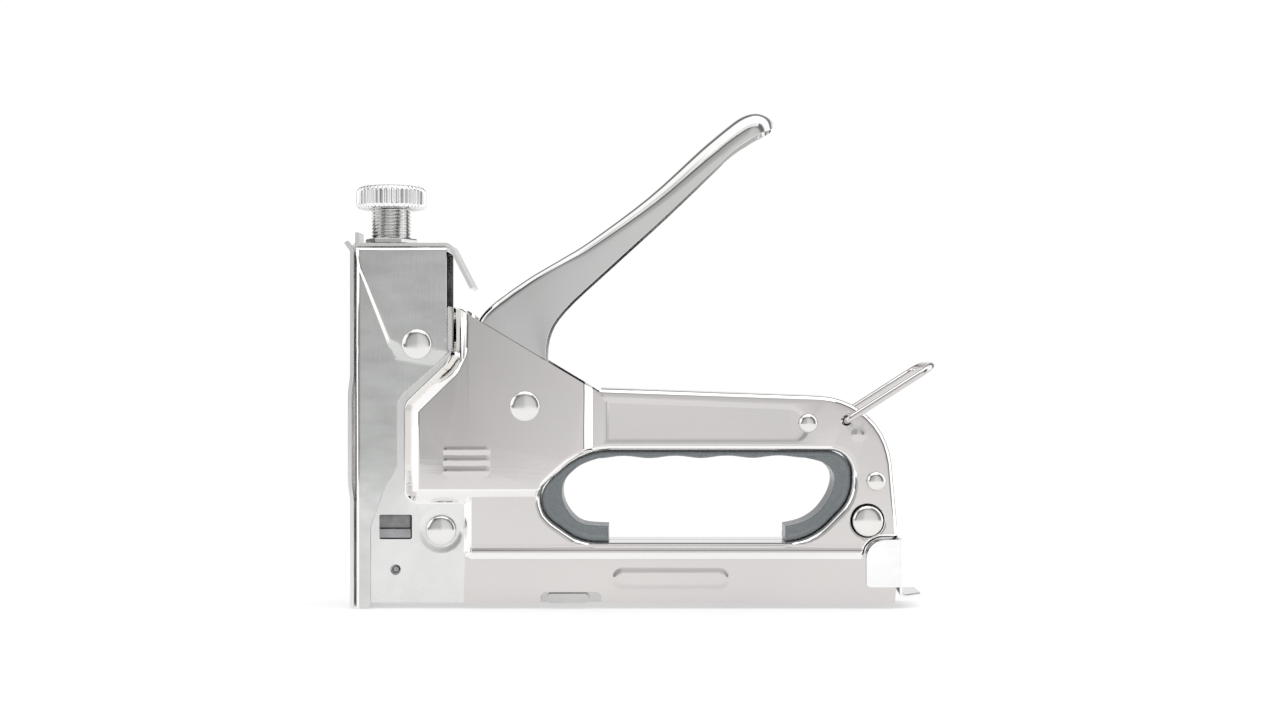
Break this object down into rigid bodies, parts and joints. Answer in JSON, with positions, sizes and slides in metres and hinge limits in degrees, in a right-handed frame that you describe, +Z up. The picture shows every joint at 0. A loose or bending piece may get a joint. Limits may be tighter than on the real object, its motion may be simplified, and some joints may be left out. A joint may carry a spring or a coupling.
{
  "type": "staple gun",
  "caption": "Hand-powered staple gun with pressed steel shells, spring driver, hand lever, power knob, lock bail and bottom staple magazine.",
  "frame": {"origin": "middle of the flat foot of the nose, on the underside of the front wall", "axes": "+Z up along the driver, +X to the rear along the magazine, +Y to the tool's right side; Y = 0 is the plane where the shells meet"},
  "size_m": [0.1667, 0.0276, 0.1402],
  "materials": {
    "shell_plate": "bright nickel plated pressed steel with rolled edges",
    "housing_plate": "bright plated sheet steel, lightly brushed low on the nose",
    "lever_plate": "bright plated pressed steel",
    "rivet_plate": "bright plated domed rivet heads",
    "adjuster_plate": "plated steel, knurled knob and machine thread",
    "magazine_plate": "bright plated sheet and wire",
    "inner_steel": "bare hardened and spring steel, lightly oiled",
    "grip_plastic": "dark blue-grey moulded plastic",
    "bumper_rubber": "dark rubber"
  },
  "bodies": {
    "frame": {"left_shell": "shell_plate", "right_shell": "shell_plate", "front_housing": "housing_plate", "front_plate": "housing_plate", "front_plate_clip": "housing_plate", "adjuster_nut": "adjuster_plate", "bumper": "bumper_rubber", "magazine_channel": "magazine_plate", "left_magazine_pin": "inner_steel", "right_magazine_pin": "inner_steel", "front_upper_rivet": "rivet_plate", "front_lower_rivet": "rivet_plate", "lever_pivot_pin": "rivet_plate", "rear_large_rivet": "rivet_plate", "rear_top_rivet": "rivet_plate", "rear_mid_rivet": "rivet_plate", "front_lower_spacer": "inner_steel", "rear_large_spacer": "inner_steel", "rear_top_spacer": "inner_steel", "rear_mid_spacer": "inner_steel", "grip_insert": "grip_plastic", "power_spring": "inner_steel"},
    "hand_lever": {"lever": "lever_plate", "lift_arm": "inner_steel", "arm_rivet": "inner_steel", "lever_return_spring": "inner_steel"},
    "driver": {"plunger": "inner_steel", "driver_blade": "inner_steel", "plunger_pin": "inner_steel"},
    "preload_cap": {"spring_top_cap": "inner_steel"},
    "adjuster": {"adjusting_screw": "adjuster_plate", "adjusting_knob": "adjuster_plate"},
    "bail": {"lock_bail": "magazine_plate"},
    "latch": {"end_cap": "magazine_plate", "guide_rod": "inner_steel", "pusher_spring": "inner_steel"},
    "staple_pusher": {"pusher": "inner_steel"}
  },
  "joints": [
    {"name": "lever_pivot", "type": "hinge", "parent": "frame", "child": "hand_lever", "pos_m": [0.0476, 0, 0.057], "axis": [0, 1, 0], "range_deg": [0, 42], "stiffness_Nm_per_rad": 0.4, "springref_deg": -28.65, "deforming": ["lever_return_spring"]},
    {"name": "driver_slide", "type": "slide", "parent": "frame", "child": "driver", "axis": [0, 0, 1], "range_m": [0, 0.02], "stiffness_N_per_m": 300, "springref_m": -0.012, "deforming": ["power_spring"]},
    {"name": "preload_slide", "type": "slide", "parent": "frame", "child": "preload_cap", "axis": [0, 0, -1], "range_m": [0, 0.0065], "deforming": ["power_spring"]},
    {"name": "knob_turn", "type": "hinge", "parent": "preload_cap", "child": "adjuster", "pos_m": [0.0085, 0, 0.1], "axis": [0, 0, -1], "range_deg": [0, 2340]},
    {"name": "bail_swing", "type": "hinge", "parent": "frame", "child": "bail", "pos_m": [0.1379, 0, 0.053], "axis": [0, 1, 0], "range_deg": [-48, 80]},
    {"name": "latch_slide", "type": "slide", "parent": "frame", "child": "latch", "axis": [1, 0, 0], "range_m": [0, 0.15]},
    {"name": "pusher_slide", "type": "slide", "parent": "latch", "child": "staple_pusher", "axis": [1, 0, 0], "range_m": [0, 0.095], "stiffness_N_per_m": 15, "springref_m": -0.03, "deforming": ["pusher_spring"]}
  ],
  "couplings": [
    {"joint": "lever_pivot", "follows": "driver_slide", "rad_per_m": 36.652},
    {"joint": "knob_turn", "follows": "preload_slide", "rad_per_m": 6283.2}
  ]
}
